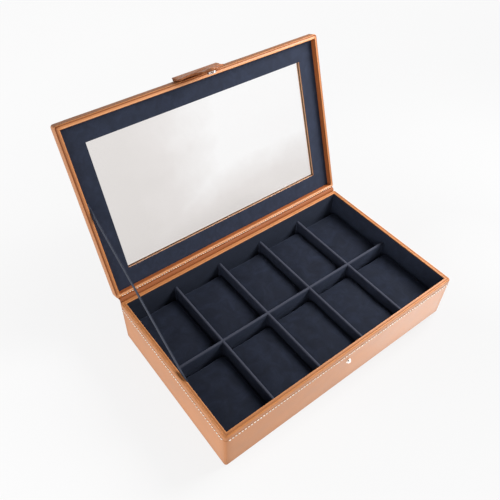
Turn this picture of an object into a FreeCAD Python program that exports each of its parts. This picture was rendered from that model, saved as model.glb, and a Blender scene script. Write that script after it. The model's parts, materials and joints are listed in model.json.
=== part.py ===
"""Leather watch box with ten cushions and a glass-topped lid, shown with the lid open.

Millimetres, +X to the right, -Y to the front, +Z up. The origin is the centre of the
box's flat underside. The lid's pieces are drawn on the closed box and then turned open
about the leather hinge, so every lid piece can be read in the closed position.
"""
import FreeCAD
import Part
import math
import os

from FreeCAD import Vector

# Driving dimensions of the base
BASE_LENGTH = 310.0
BASE_DEPTH = 188.0
BASE_HEIGHT = 58.0
LEATHER = 1.0
BOARD = 3.0
LINING = 1.0
WALL = LEATHER + BOARD + LINING
CORNER_RADIUS = 2.5
SHOULDER_RADIUS = 2.0
FOOT_RADIUS = 0.8
LEATHER_LIFT = 0.5
UNDERSIDE_THICKNESS = 1.4
UNDERSIDE_INSET = 9.0
FLOOR_BOARD = 2.6
CREASE_DROP = 6.4
CREASE_WIDTH = 0.8
CREASE_DEPTH = 0.25

# Driving dimensions of the dividers and the cushions
COLUMNS = 5
ROWS = 2
DIVIDER = 4.0
DIVIDER_TOP = 42.0
DIVIDER_ROUND = 1.6
LAP_CLEARANCE = 0.1
CUSHION_GAP = 2.0
CUSHION_FLOOR_GAP = 0.3
CUSHION_TOP = 31.0
CUSHION_DRAW_IN = 0.022
CUSHION_CORNER = 6.0
SIDE_STEPS = 6
CORNER_STEPS = 5

# Driving dimensions of the lid, on the closed box
LID_LENGTH = 312.0
LID_DEPTH = 190.0
LID_HEIGHT = 13.5
LID_GAP = 0.3
LID_RIM = 4.2
LID_CORNER = 3.0
LID_TOP_RADIUS = 3.0
RECESS_DEPTH = 7.0
SUEDE = 0.6
BORDER = 20.5
GLASS_REBATE = 4.7
GLASS_THICKNESS = 2.0
SLIP_HEIGHT = 2.0
HINGE_Y = 96.5
HINGE_Z = 59.3
OPEN_ANGLE = 109.0

# Driving dimensions of the flexible pieces
HINGE_LEATHER = 1.2
HINGE_LENGTH = 308.0
HINGE_FOOT = 40.0
HINGE_LAP = 12.4
RIBBON_WIDTH = 6.4
RIBBON_THICKNESS = 0.8
RIBBON_LID_Y = -10.0
RIBBON_LID_DEPTH = 4.2
RIBBON_RIM_Y = -21.0
RIBBON_DROP = 11.0
STAY_PAD_LENGTH = 12.0

# Driving dimensions of the closure tab and its snap
TAB_HALF_WIDTH = 26.0
TAB_THICKNESS = 1.9
TAB_LIFT = 1.8
TAB_TOP = 12.6
TAB_FOLD = 6.0
TAB_SHOULDER = -5.0
TAB_RAISE = 9.0
TONGUE_HALF_WIDTH = 10.0
SNAP_DROP = 21.0
STUD_HEAD = 4.8
STUD_POST = 3.4
STUD_REACH = 2.6
WASHER_RADIUS = 4.0
WASHER_THICKNESS = 0.6
SNAP_BORE = 6.0
SNAP_RING = 9.8
SOCKET_HEIGHT = 2.6
SNAP_STEM = 3.0
SNAP_CAP = 11.0
CAP_RISE = 1.3

# Sizes that follow
HALF_X = BASE_LENGTH / 2.0
HALF_Y = BASE_DEPTH / 2.0
INNER_X = HALF_X - WALL
INNER_Y = HALF_Y - WALL
FLOOR_TOP = UNDERSIDE_THICKNESS + FLOOR_BOARD + LINING
LINING_TOP = BASE_HEIGHT - LEATHER
PITCH_X = 2.0 * INNER_X / COLUMNS
LID_Z = BASE_HEIGHT + LID_GAP
LID_X = LID_LENGTH / 2.0
LID_Y = LID_DEPTH / 2.0
LID_INNER_X = LID_X - LID_RIM
LID_INNER_Y = LID_Y - LID_RIM
WINDOW_X = LID_INNER_X - BORDER
WINDOW_Y = LID_INNER_Y - BORDER
SUEDE_Z = LID_Z + RECESS_DEPTH
LID_BOARD_Z = SUEDE_Z + SUEDE
LID_BOARD_TOP = LID_Z + LID_HEIGHT - LEATHER
GLASS_Z = LID_BOARD_Z + SLIP_HEIGHT
GLASS_TOP = GLASS_Z + GLASS_THICKNESS
STUD_Z = LID_Z - SNAP_DROP
TAB_FACE_Y = -LID_Y - TAB_LIFT
TAB_AXIS_Y = TAB_FACE_Y - TAB_THICKNESS / 2.0
TAB_AXIS_Z = LID_Z + TAB_FOLD


def block(x0, x1, y0, y1, z0, z1):
    """A box from its lowest to its highest corner."""
    return Part.makeBox(x1 - x0, y1 - y0, z1 - z0, Vector(x0, y0, z0))


def centred(half_x, half_y, z0, z1):
    """A box centred on the Z axis."""
    return block(-half_x, half_x, -half_y, half_y, z0, z1)


def is_upright(edge):
    """True for a straight edge that runs along Z."""
    ends = [v.Point for v in edge.Vertexes]
    if len(ends) != 2:
        return False
    return abs(ends[0].x - ends[1].x) + abs(ends[0].y - ends[1].y) < 1e-6


def edges_at_height(shape, height):
    """Edges that lie wholly at one height."""
    found = []
    for edge in shape.Edges:
        box = edge.BoundBox
        if abs(box.ZMin - height) < 1e-6 and abs(box.ZMax - height) < 1e-6:
            found.append(edge)
    return found


def rounded_block(half_x, half_y, z0, z1, corner):
    """A box on the Z axis with rounded upright corners."""
    shape = centred(half_x, half_y, z0, z1)
    return shape.makeFillet(corner, [e for e in shape.Edges if is_upright(e)])


def save(name, shape, opened=False):
    """Turns a lid piece open if asked, and writes one node."""
    if opened:
        shape = shape.copy()
        shape.rotate(Vector(0, HINGE_Y, HINGE_Z), Vector(1, 0, 0), -OPEN_ANGLE)
    if not shape.isValid():
        raise ValueError("invalid shape: " + name)
    shape.exportStep("parts/" + name + ".step")
    print("%-24s solids %d volume %.0f mm3" % (name, len(shape.Solids), shape.Volume))


def opened_point(y, z):
    """Where a point of the closed lid lies when the lid is open."""
    turn = math.radians(OPEN_ANGLE)
    dy = y - HINGE_Y
    dz = z - HINGE_Z
    open_y = HINGE_Y + dy * math.cos(turn) + dz * math.sin(turn)
    open_z = HINGE_Z - dy * math.sin(turn) + dz * math.cos(turn)
    return open_y, open_z


def prism(profile, x0, x1):
    """A closed outline of (y, z) points, drawn out along X."""
    points = [Vector(x0, y, z) for y, z in profile]
    face = Part.Face(Part.makePolygon(points + points[:1]))
    return face.extrude(Vector(x1 - x0, 0, 0))


def stud_hole(y0, y1):
    """The hole that the stud's post goes through."""
    return Part.makeCylinder(STUD_POST / 2.0, y1 - y0, Vector(0, y0, STUD_Z), Vector(0, 1, 0))


def snap_disc(radius):
    """A disc as thick as the washer, sunk in the inner side of the front board."""
    start = Vector(0, -INNER_Y - LINING - WASHER_THICKNESS, STUD_Z)
    return Part.makeCylinder(radius, WASHER_THICKNESS, start, Vector(0, 1, 0))


def base_leather():
    """Side leather turned over the rim and under the bottom edge."""
    outer = rounded_block(HALF_X, HALF_Y, LEATHER_LIFT, BASE_HEIGHT, CORNER_RADIUS)
    outer = outer.makeFillet(SHOULDER_RADIUS, edges_at_height(outer, BASE_HEIGHT))
    outer = outer.makeFillet(FOOT_RADIUS, edges_at_height(outer, LEATHER_LIFT))
    hollow = centred(HALF_X - LEATHER, HALF_Y - LEATHER, UNDERSIDE_THICKNESS, LINING_TOP)
    mouth = centred(INNER_X, INNER_Y, LINING_TOP - 1, BASE_HEIGHT + 1)
    under = centred(HALF_X - UNDERSIDE_INSET, HALF_Y - UNDERSIDE_INSET, 0, UNDERSIDE_THICKNESS)
    leather = outer.cut(hollow).cut(mouth).cut(under)
    crease_z = BASE_HEIGHT - CREASE_DROP
    ring = rounded_block(HALF_X + 1, HALF_Y + 1, crease_z - CREASE_WIDTH, crease_z, CORNER_RADIUS)
    core = rounded_block(HALF_X - CREASE_DEPTH, HALF_Y - CREASE_DEPTH, crease_z - CREASE_WIDTH,
                         crease_z, CORNER_RADIUS - CREASE_DEPTH)
    leather = leather.cut(ring.cut(core))
    return leather.cut(stud_hole(-HALF_Y - 1, -HALF_Y + LEATHER + 1))


def base_boards():
    """The wooden walls and floor under the leather."""
    x = HALF_X - LEATHER
    y = HALF_Y - LEATHER
    z0 = UNDERSIDE_THICKNESS
    front = block(-x, x, -y, -y + BOARD, z0, LINING_TOP).cut(stud_hole(-y - 1, -y + BOARD + 1))
    save("base_front_board", front.cut(snap_disc(WASHER_RADIUS + 0.1)))
    save("base_back_board", block(-x, x, y - BOARD, y, z0, LINING_TOP))
    save("base_left_board", block(-x, -x + BOARD, -y + BOARD, y - BOARD, z0, LINING_TOP))
    save("base_right_board", block(x - BOARD, x, -y + BOARD, y - BOARD, z0, LINING_TOP))
    save("base_floor_board", centred(x - BOARD, y - BOARD, z0, z0 + FLOOR_BOARD))
    save("base_underside_cover",
         centred(HALF_X - UNDERSIDE_INSET, HALF_Y - UNDERSIDE_INSET, 0, UNDERSIDE_THICKNESS))


def linings():
    """Suede on the inside of each wall and on the floor."""
    x = INNER_X + LINING
    y = INNER_Y + LINING
    save("lining_floor", centred(x, y, FLOOR_TOP - LINING, FLOOR_TOP))
    save("lining_left", block(-x, -INNER_X, -y, y, FLOOR_TOP, LINING_TOP))
    save("lining_right", block(INNER_X, x, -y, y, FLOOR_TOP, LINING_TOP))
    save("lining_front", block(-INNER_X, INNER_X, -y, -INNER_Y, FLOOR_TOP, LINING_TOP))
    save("lining_back", block(-INNER_X, INNER_X, INNER_Y, y, FLOOR_TOP, LINING_TOP))


def divider_blank(half_x, half_y):
    """An upright wrapped board with its two long top edges rounded."""
    shape = centred(half_x, half_y, FLOOR_TOP, DIVIDER_TOP)
    length = 2.0 * max(half_x, half_y)
    tops = [e for e in edges_at_height(shape, DIVIDER_TOP) if abs(e.Length - length) < 1e-6]
    return shape.makeFillet(DIVIDER_ROUND, tops)


def dividers():
    """One long divider and four cross dividers, half-lapped into each other."""
    lap_z = (FLOOR_TOP + DIVIDER_TOP) / 2.0
    slot = DIVIDER / 2.0 + LAP_CLEARANCE
    places = [-INNER_X + PITCH_X * (i + 1) for i in range(COLUMNS - 1)]
    long_divider = divider_blank(INNER_X, DIVIDER / 2.0)
    for x in places:
        long_divider = long_divider.cut(block(x - slot, x + slot, -DIVIDER, DIVIDER,
                                              lap_z, DIVIDER_TOP + 1))
    save("long_divider", long_divider)
    for number, x in enumerate(places, 1):
        cross = divider_blank(DIVIDER / 2.0, INNER_Y)
        cross = cross.cut(centred(DIVIDER, slot, FLOOR_TOP - 1, lap_z + LAP_CLEARANCE))
        cross.translate(Vector(x, 0, 0))
        save("cross_divider_%d" % number, cross)


def cushion_section(half_x, half_y, z, corner, draw_in):
    """A rounded rectangle whose four sides pull in, by a share of their half length."""
    points = []
    for quarter in range(4):
        along, out = (half_x, half_y) if quarter % 2 == 0 else (half_y, half_x)
        turn = math.radians(90.0 * quarter)
        outline = []
        for step in range(SIDE_STEPS):
            share = -1.0 + 2.0 * step / SIDE_STEPS
            pull = draw_in * (along - corner) * (1.0 - share * share)
            outline.append((share * (along - corner), pull - out))
        for step in range(CORNER_STEPS):
            angle = math.radians(90.0 * step / CORNER_STEPS)
            outline.append((along - corner + corner * math.sin(angle),
                            corner - out - corner * math.cos(angle)))
        for x, y in outline:
            points.append(Vector(x * math.cos(turn) - y * math.sin(turn),
                                 x * math.sin(turn) + y * math.cos(turn), z))
    return points


def faceted_solid(sections):
    """A solid with flat faces between sections that have the same number of points."""
    faces = [Part.Face(Part.makePolygon(ring + ring[:1])) for ring in (sections[0], sections[-1])]
    for low, high in zip(sections, sections[1:]):
        for i in range(len(low)):
            j = (i + 1) % len(low)
            faces.append(Part.Face(Part.makePolygon([low[i], low[j], high[j], high[i], low[i]])))
    shell = Part.makeShell(faces)
    shell.sewShape()
    return Part.makeSolid(shell)


def cushion(half_x, half_y):
    """A padded cushion with a crowned top, rolled edges and drawn-in sides."""
    low = FLOOR_TOP + CUSHION_FLOOR_GAP
    height = CUSHION_TOP - low
    levels = ((0.0, 2.6), (0.08, 0.8), (0.3, 0.0), (0.6, 0.0), (0.82, 0.6),
              (0.92, 2.2), (0.97, 6.0), (1.0, 14.0))
    sections = []
    for share, inset in levels:
        corner = max(CUSHION_CORNER - 0.15 * inset, 3.0)
        sections.append(cushion_section(half_x - inset, half_y - inset, low + share * height,
                                        corner, CUSHION_DRAW_IN))
    return faceted_solid(sections)


def cushions():
    """Ten cushions, numbered from the left, the front row first."""
    number = 0
    for row in range(ROWS):
        y_low = -INNER_Y if row == 0 else DIVIDER / 2.0
        y_high = -DIVIDER / 2.0 if row == 0 else INNER_Y
        for column in range(COLUMNS):
            x_low = -INNER_X + PITCH_X * column + (DIVIDER / 2.0 if column > 0 else 0.0)
            x_high = -INNER_X + PITCH_X * (column + 1)
            x_high -= DIVIDER / 2.0 if column < COLUMNS - 1 else 0.0
            number += 1
            shape = cushion((x_high - x_low) / 2.0 - CUSHION_GAP,
                            (y_high - y_low) / 2.0 - CUSHION_GAP)
            shape.translate(Vector((x_low + x_high) / 2.0, (y_low + y_high) / 2.0, 0))
            save("watch_cushion_%02d" % number, shape)


def turned(profile, start_y):
    """A solid of (radius, distance to the front) points, turned about the snap's line."""
    points = [Vector(r, start_y - d, STUD_Z) for r, d in profile]
    face = Part.Face(Part.makePolygon(points + points[:1]))
    return face.revolve(Vector(0, 0, STUD_Z), Vector(0, 1, 0), 360)


def stud():
    """Ball stud on the front wall, its post through the wall, and the washer it is riveted to."""
    ball = Part.makeSphere(STUD_HEAD / 2.0, Vector(0, -HALF_Y - STUD_REACH + STUD_HEAD / 2.0, STUD_Z))
    ball = ball.common(block(-STUD_HEAD, STUD_HEAD, -HALF_Y - STUD_HEAD, -HALF_Y,
                             STUD_Z - STUD_HEAD, STUD_Z + STUD_HEAD))
    post = Part.makeCylinder(STUD_POST / 2.0 - 0.05, LEATHER + BOARD + 1.0,
                             Vector(0, -HALF_Y - 1.0, STUD_Z), Vector(0, 1, 0))
    save("snap_stud", ball.fuse(post))
    save("stud_washer", snap_disc(WASHER_RADIUS).cut(snap_disc(STUD_POST / 2.0)))


def hinge_leather():
    """The leather strip that joins the back of the base to the back of the lid."""
    skin = 0.05
    base_in = HALF_Y + skin
    base_out = base_in + HINGE_LEATHER
    lid_in = LID_Y + skin
    lid_out = lid_in + HINGE_LEATHER
    lap = LID_Z + HINGE_LAP
    profile = [(base_in, HINGE_FOOT), (base_in, BASE_HEIGHT + 0.4), opened_point(lid_in, LID_Z),
               opened_point(lid_in, lap), opened_point(lid_out, lap),
               (base_out + 0.1, BASE_HEIGHT + 2.0), (base_out, HINGE_FOOT)]
    return prism(profile, -HINGE_LENGTH / 2.0, HINGE_LENGTH / 2.0)


def stay_ribbon():
    """The taut ribbon that stops the lid, from the lid's left wall to the base's left wall."""
    top_y, top_z = opened_point(RIBBON_LID_Y, LID_Z + RIBBON_LID_DEPTH)
    slope = (top_z - BASE_HEIGHT) / (top_y - RIBBON_RIM_Y)
    low_z = BASE_HEIGHT - RIBBON_DROP
    low_y = RIBBON_RIM_Y - RIBBON_DROP / slope
    length = math.hypot(top_y - low_y, top_z - low_z)
    side_y = -(top_z - low_z) / length * RIBBON_WIDTH / 2.0
    side_z = (top_y - low_y) / length * RIBBON_WIDTH / 2.0
    profile = [(low_y + side_y, low_z + side_z), (low_y - side_y, low_z - side_z),
               (top_y - side_y, top_z - side_z), (top_y + side_y, top_z + side_z)]
    print("ribbon length %.0f mm" % length)
    return prism(profile, -INNER_X + 0.02, -INNER_X + 0.02 + RIBBON_THICKNESS)


def stay_pad():
    """The small pad on the lid's left inner wall that the ribbon is sewn to."""
    return block(-LID_INNER_X, -INNER_X, RIBBON_LID_Y - STAY_PAD_LENGTH / 2.0,
                 RIBBON_LID_Y + STAY_PAD_LENGTH / 2.0, LID_Z + 1.2, LID_Z + RECESS_DEPTH)


def lid_leather():
    """Lid leather turned over the rim and into the window opening."""
    z1 = LID_Z + LID_HEIGHT
    outer = rounded_block(LID_X, LID_Y, LID_Z, z1, LID_CORNER)
    outer = outer.makeFillet(LID_TOP_RADIUS, edges_at_height(outer, z1))
    boards = rounded_block(LID_X - LEATHER, LID_Y - LEATHER, LID_Z + LEATHER, LID_BOARD_TOP,
                           LID_CORNER - LEATHER)
    boards = boards.makeFillet(LID_TOP_RADIUS - LEATHER, edges_at_height(boards, LID_BOARD_TOP))
    mouth = centred(LID_INNER_X, LID_INNER_Y, LID_Z - 1, LID_Z + LEATHER + 1)
    turned_in = centred(WINDOW_X + LEATHER, WINDOW_Y + LEATHER, GLASS_TOP, z1 - LEATHER / 2.0)
    window = centred(WINDOW_X, WINDOW_Y, LID_Z, z1 + 1)
    return outer.cut(boards).cut(mouth).fuse(turned_in).cut(window).removeSplitter()


def mitred(half_x, half_y, width, z0, z1):
    """Four mitred members of a rectangular frame, by the side they lie on."""
    frame = centred(half_x, half_y, z0, z1).cut(centred(half_x - width, half_y - width, z0, z1))
    reach = half_x + half_y
    wedges = {}
    for side, sx, sy in (("front", 0, -1), ("back", 0, 1), ("left", -1, 0), ("right", 1, 0)):
        tip = Vector(sx * (half_x - half_y), 0, z0)
        if sy:
            points = [Vector(-(half_x - half_y), 0, z0), Vector(half_x - half_y, 0, z0),
                      Vector(half_x - half_y + reach, sy * reach, z0),
                      Vector(-(half_x - half_y) - reach, sy * reach, z0)]
        else:
            points = [tip, tip + Vector(sx * reach, -reach, 0), tip + Vector(sx * reach, reach, 0)]
        face = Part.Face(Part.makePolygon(points + points[:1]))
        wedges[side] = frame.common(face.extrude(Vector(0, 0, z1 - z0)))
    return wedges


def lid_frame():
    """Mitred edge rails, mitred top boards with the glass rebate, and the inner facings."""
    rail_width = LID_RIM - 2.0 * LEATHER
    rails = mitred(LID_X - LEATHER, LID_Y - LEATHER, rail_width, LID_Z + LEATHER, LID_BOARD_Z)
    for side, shape in rails.items():
        rounded = rounded_block(LID_X - LEATHER, LID_Y - LEATHER, LID_Z, LID_BOARD_Z,
                                LID_CORNER - LEATHER)
        save("lid_%s_rail" % side, shape.common(rounded), True)
    facings = mitred(LID_INNER_X + LEATHER, LID_INNER_Y + LEATHER, LEATHER,
                     LID_Z + LEATHER, LID_BOARD_Z)
    for side, shape in facings.items():
        save("lid_%s_facing" % side, shape, True)
    tops = mitred(LID_X - LEATHER, LID_Y - LEATHER, BORDER + LID_RIM - 2.0 * LEATHER,
                  LID_BOARD_Z, LID_BOARD_TOP)
    outline = rounded_block(LID_X - LEATHER, LID_Y - LEATHER, LID_BOARD_Z, LID_BOARD_TOP,
                            LID_CORNER - LEATHER)
    outline = outline.makeFillet(LID_TOP_RADIUS - LEATHER,
                                 edges_at_height(outline, LID_BOARD_TOP))
    rebate = centred(WINDOW_X + GLASS_REBATE, WINDOW_Y + GLASS_REBATE, LID_BOARD_Z, GLASS_TOP)
    for side, shape in tops.items():
        save("lid_top_%s_board" % side, shape.common(outline).cut(rebate), True)


def lid_window():
    """Glass pane, the leather slip that holds it, and the suede border inside the lid."""
    fit = 0.3
    pane_x = WINDOW_X + GLASS_REBATE - fit
    pane_y = WINDOW_Y + GLASS_REBATE - fit
    save("lid_window_glass", centred(pane_x, pane_y, GLASS_Z, GLASS_TOP), True)
    hole = centred(WINDOW_X, WINDOW_Y, LID_Z, GLASS_TOP + 1)
    slip = centred(pane_x, pane_y, LID_BOARD_Z, GLASS_Z).cut(hole)
    save("window_slip_frame", slip, True)
    border = centred(LID_INNER_X, LID_INNER_Y, SUEDE_Z, LID_BOARD_Z).cut(hole)
    save("lid_suede_frame", border, True)


def tab_outline():
    """The wide flap with its round-ended tongue, as a face at the tab's back."""
    y = TAB_FACE_Y
    wide = TAB_HALF_WIDTH
    slim = TONGUE_HALF_WIDTH
    fold_z = TAB_AXIS_Z
    low_z = LID_Z + TAB_SHOULDER
    blend = 6.0
    tongue_z = low_z - 2.0 * blend
    round_corner = wide - 4.0
    end_z = STUD_Z + 2.0

    def point(x, z):
        return Vector(x, y, z)

    half = [
        (point(wide, fold_z), None, point(wide, low_z + 4.0)),
        (point(wide, low_z + 4.0), point(wide - 1.2, low_z + 1.2), point(round_corner, low_z)),
        (point(round_corner, low_z), None, point(slim + blend, low_z - 1.0)),
        (point(slim + blend, low_z - 1.0), point(slim + 1.8, low_z - 4.2), point(slim, tongue_z)),
        (point(slim, tongue_z), None, point(slim, end_z)),
        (point(slim, end_z), point(slim * math.sqrt(0.5), end_z - slim * math.sqrt(0.5)),
         point(0, end_z - slim)),
    ]
    edges = [Part.LineSegment(point(-wide, fold_z), point(wide, fold_z)).toShape()]
    for start, middle, end in half:
        if middle is None:
            edge = Part.LineSegment(start, end).toShape()
        else:
            edge = Part.Arc(start, middle, end).toShape()
        edges.append(edge)
        edges.append(edge.mirror(Vector(0, 0, 0), Vector(1, 0, 0)))
    return Part.Face(Part.Wire(Part.__sortEdges__(edges)))


def raised(shape):
    """Swings a piece of the closed tab out about the tab's fold."""
    shape.rotate(Vector(0, TAB_AXIS_Y, TAB_AXIS_Z), Vector(1, 0, 0), -TAB_RAISE)
    return shape


def closure_tab():
    """The leather tab with its folded root, and both halves of the snap it carries."""
    front = TAB_FACE_Y - TAB_THICKNESS
    flap = tab_outline().extrude(Vector(0, -TAB_THICKNESS, 0))
    bead = Part.makeCylinder(TAB_THICKNESS / 2.0, 2.0 * TAB_HALF_WIDTH,
                             Vector(-TAB_HALF_WIDTH, TAB_AXIS_Y, TAB_AXIS_Z), Vector(1, 0, 0))
    hole = turned([(0, -1.0), (SNAP_STEM / 2.0 + 0.1, -1.0),
                   (SNAP_STEM / 2.0 + 0.1, TAB_THICKNESS + 1.0), (0, TAB_THICKNESS + 1.0)],
                  TAB_FACE_Y)
    save("closure_tab", raised(flap.fuse(bead).cut(hole).removeSplitter()), True)
    root_z = TAB_AXIS_Z + TAB_THICKNESS / 2.0 + 0.1
    root = block(-TAB_HALF_WIDTH, TAB_HALF_WIDTH, front, -LID_Y, root_z, LID_Z + TAB_TOP)
    corners = [e for e in root.Edges if e.BoundBox.XLength < 1e-6 and e.BoundBox.ZLength < 1e-6
               and e.BoundBox.ZMax > LID_Z + TAB_TOP - 1e-6]
    save("tab_root", root.makeFillet(2.0, corners), True)
    bore = SNAP_BORE / 2.0
    ring = SNAP_RING / 2.0
    socket = turned([(bore, 0.0), (ring, 0.0), (ring, 0.5 - SOCKET_HEIGHT),
                     (ring - 0.5, -SOCKET_HEIGHT), (bore + 0.4, -SOCKET_HEIGHT),
                     (bore, 0.4 - SOCKET_HEIGHT)], TAB_FACE_Y)
    save("snap_socket", raised(socket), True)
    dome_radius = (SNAP_CAP ** 2 / 4.0 + CAP_RISE ** 2) / (2.0 * CAP_RISE)
    dome = Part.makeSphere(dome_radius, Vector(0, front - CAP_RISE + dome_radius, STUD_Z))
    cap = dome.common(block(-SNAP_CAP, SNAP_CAP, front - SNAP_CAP, front,
                            STUD_Z - SNAP_CAP, STUD_Z + SNAP_CAP))
    stem = Part.makeCylinder(SNAP_STEM / 2.0, TAB_THICKNESS + 0.5, Vector(0, front - 0.5, STUD_Z),
                             Vector(0, 1, 0))
    save("snap_cap", raised(cap.fuse(stem)), True)


def main():
    os.makedirs("parts", exist_ok=True)
    save("base_leather_wrap", base_leather())
    base_boards()
    linings()
    dividers()
    cushions()
    stud()
    save("hinge_leather", hinge_leather())
    save("lid_stay_ribbon", stay_ribbon())
    save("lid_leather_wrap", lid_leather(), True)
    lid_frame()
    lid_window()
    save("stay_pad", stay_pad(), True)
    closure_tab()


main()
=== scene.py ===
"""Dresses the leather watch box: stitched tan leather, navy suede, glass lid, snap tab, studio light."""
import json
import math
import random

import bmesh
import bpy
from mathutils import Matrix, Vector, noise


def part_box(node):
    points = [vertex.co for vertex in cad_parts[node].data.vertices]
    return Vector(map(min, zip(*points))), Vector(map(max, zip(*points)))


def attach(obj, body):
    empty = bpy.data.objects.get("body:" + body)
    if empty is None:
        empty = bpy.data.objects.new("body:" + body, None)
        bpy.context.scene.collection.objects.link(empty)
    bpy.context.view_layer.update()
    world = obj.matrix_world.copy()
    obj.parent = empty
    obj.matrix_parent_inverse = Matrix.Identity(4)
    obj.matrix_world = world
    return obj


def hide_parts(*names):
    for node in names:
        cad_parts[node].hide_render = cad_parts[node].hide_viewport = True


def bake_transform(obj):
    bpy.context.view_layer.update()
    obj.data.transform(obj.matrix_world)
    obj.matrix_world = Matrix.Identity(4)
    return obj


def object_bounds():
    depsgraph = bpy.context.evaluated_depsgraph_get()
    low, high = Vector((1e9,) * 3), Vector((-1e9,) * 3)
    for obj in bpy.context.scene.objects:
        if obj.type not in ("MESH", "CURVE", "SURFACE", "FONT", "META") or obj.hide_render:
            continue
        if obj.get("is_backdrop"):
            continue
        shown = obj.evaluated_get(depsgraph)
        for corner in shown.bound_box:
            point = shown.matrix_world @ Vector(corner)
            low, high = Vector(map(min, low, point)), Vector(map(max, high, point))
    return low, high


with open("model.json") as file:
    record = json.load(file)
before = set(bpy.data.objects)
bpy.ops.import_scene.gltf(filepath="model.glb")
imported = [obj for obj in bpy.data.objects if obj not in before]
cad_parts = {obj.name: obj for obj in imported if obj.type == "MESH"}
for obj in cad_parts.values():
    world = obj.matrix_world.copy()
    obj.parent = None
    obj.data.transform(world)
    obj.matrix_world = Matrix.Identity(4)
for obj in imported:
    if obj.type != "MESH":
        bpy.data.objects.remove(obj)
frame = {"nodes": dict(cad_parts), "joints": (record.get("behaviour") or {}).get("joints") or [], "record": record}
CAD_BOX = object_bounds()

MM = 0.001

# Base, from the frame and in millimetres
BASE_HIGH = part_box("base_leather_wrap")[1]
HALF_X = BASE_HIGH[0] / MM
HALF_Y = BASE_HIGH[1] / MM
HEIGHT = BASE_HIGH[2] / MM
WALL = 5.0
BASE_CORNER = 2.5
STITCH_DROP = 7.7
STITCH_PITCH = 3.5
STITCH_LENGTH = 2.75
STITCH_WIDTH = 1.3
STITCH_HEIGHT = 0.9
LID_STITCH_PITCH = 3.0
LID_STITCH_LENGTH = 2.1
LID_STITCH_WIDTH = 0.7
LID_STITCH_HEIGHT = 0.6

# Steps along a long side, along a short side and round a corner of a swept profile
SIDES = (90, 56, 8)

# Painted shade: how much darker a rim is on one side of the box
BACK_RIM_SHADE = -0.12
LEFT_RIM_SHADE = -0.40
RIGHT_RIM_SHADE = -0.45

# Lid, as it lies when closed
LID_HALF_X = 156.0
LID_HALF_Y = 95.0
LID_Z = HEIGHT + 0.3
LID_HEIGHT = 13.5
LID_RIM = 4.2
LID_CORNER = 3.0
BORDER = 20.5
GLASS_TOP = 11.6
LID_JOINT = next(j for j in frame["joints"] if j["name"] == "lid_hinge")
HINGE = Vector(LID_JOINT["pos_m"])
OPEN_ANGLE = math.radians(-LID_JOINT["range_deg"][0])
CLOSED = Matrix.Identity(4)
OPEN = (Matrix.Translation(HINGE) @ Matrix.Rotation(-OPEN_ANGLE, 4, "X")
        @ Matrix.Translation(-HINGE))

# Cushions: the crown on top, how far the sides swell, how far beside the ribbon, and how near
# the ribbon counts as beside it
CROWN = 1.5
SWELL = 1.5
SWELL_AT_RIBBON = 0.4
RIBBON_ROOM = 2.0

# Snap and tab, as they lie when closed
SNAP_Z = LID_Z - 21.0
STUD_REACH = 2.3
TAB_JOINT = next(j for j in frame["joints"] if j["name"] == "tab_fold")
TAB_RAISE = math.radians(-TAB_JOINT["range_deg"][0])
TAB_STAND = 1.8
TAB_THICK = 1.9
TAB_FOLD = 6.0
TAB_AXIS = Vector((0.0, -LID_HALF_Y - TAB_STAND - TAB_THICK / 2.0, LID_Z + TAB_FOLD)) * MM
RAISED = OPEN @ (Matrix.Translation(TAB_AXIS) @ Matrix.Rotation(-TAB_RAISE, 4, "X")
                 @ Matrix.Translation(-TAB_AXIS))

# Colours, linear
TAN = (0.50, 0.190, 0.056)
TAN_DARK = (0.47, 0.145, 0.036)
# The same tan leather made darker as painted shade, for the inner walls
TAN_INNER_SHADED = (0.40, 0.110, 0.026)
TAN_TAB = (0.44, 0.160, 0.055)
# The same tan leather made paler as painted light, for the window's slip frame
TAN_SLIP_LIT = (0.60, 0.30, 0.15)
# Colours that the mesh's tone mixes in: a painted highlight and painted shade
LEATHER_HIGHLIGHT = (0.92, 0.53, 0.31)
LEATHER_SHADE = (0.19, 0.050, 0.010)
THREAD = (1.0, 0.96, 0.86)
NAVY = (0.0128, 0.0170, 0.0310)
NAVY_LIGHT = (0.0145, 0.0185, 0.0330)
# A painted highlight for the dividers' tops, mixed in by how far the surface faces up
NAVY_TOP_HIGHLIGHT = (0.050, 0.054, 0.074)
RIBBON_BLUE = (0.042, 0.048, 0.066)
NICKEL = (0.78, 0.76, 0.73)
BOARD_BROWN = (0.42, 0.32, 0.20)

# How much of the navy's brightness is left on the cushions and on the base's back lining
CUSHION_SHADE = 0.82
BACK_SHADE = 0.45

# Camera, solved from the straight edges in the photograph
CAMERA_AT = Vector((-280.648, -273.247, 528.419)) * MM
CAMERA_RIGHT = Vector((0.7912205, -0.61102276, 0.02492626))
CAMERA_DOWN = Vector((-0.42955838, -0.58432732, -0.68850648))
CAMERA_FORWARD = Vector((0.43525822, 0.53405316, -0.7248017))
CAMERA_LENS = 40.564

# Window: the pane's thickness in millimetres
GLASS_THICK = 2.0

# Window, in metres: the width of its painted edge highlight, how far left of the middle and how high its painted
# shade starts to clear, and over what distance it clears
GLASS_EDGE_HIGHLIGHT = 0.0011
GLASS_SHADE_X = 0.10
GLASS_SHADE_Z = 0.085
GLASS_CLEARS_X = 0.11
GLASS_CLEARS_Z = 0.055

# Lamps: name, place, target, size and power
LAMPS = (("key", (0.43, -0.115, 0.505), (0.02, 0, 0.05), 0.31, 6.0),
         ("left_fill", (-1.4, 0.02, 0.14), (0, 0.02, 0.05), 0.7, 8.8),
         ("corner_fill", (-0.7, -0.5, 0.3), (-0.1, -0.05, 0.03), 0.4, 1.5))

# Room: its grey by the height of the direction
SKY_STRENGTH = 1.5
SKY = ((0.0, (0.88, 0.88, 0.88)), (0.15, (0.68, 0.68, 0.68)),
       (0.35, (0.25, 0.25, 0.26)), (1.0, (0.12, 0.12, 0.13)))

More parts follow.
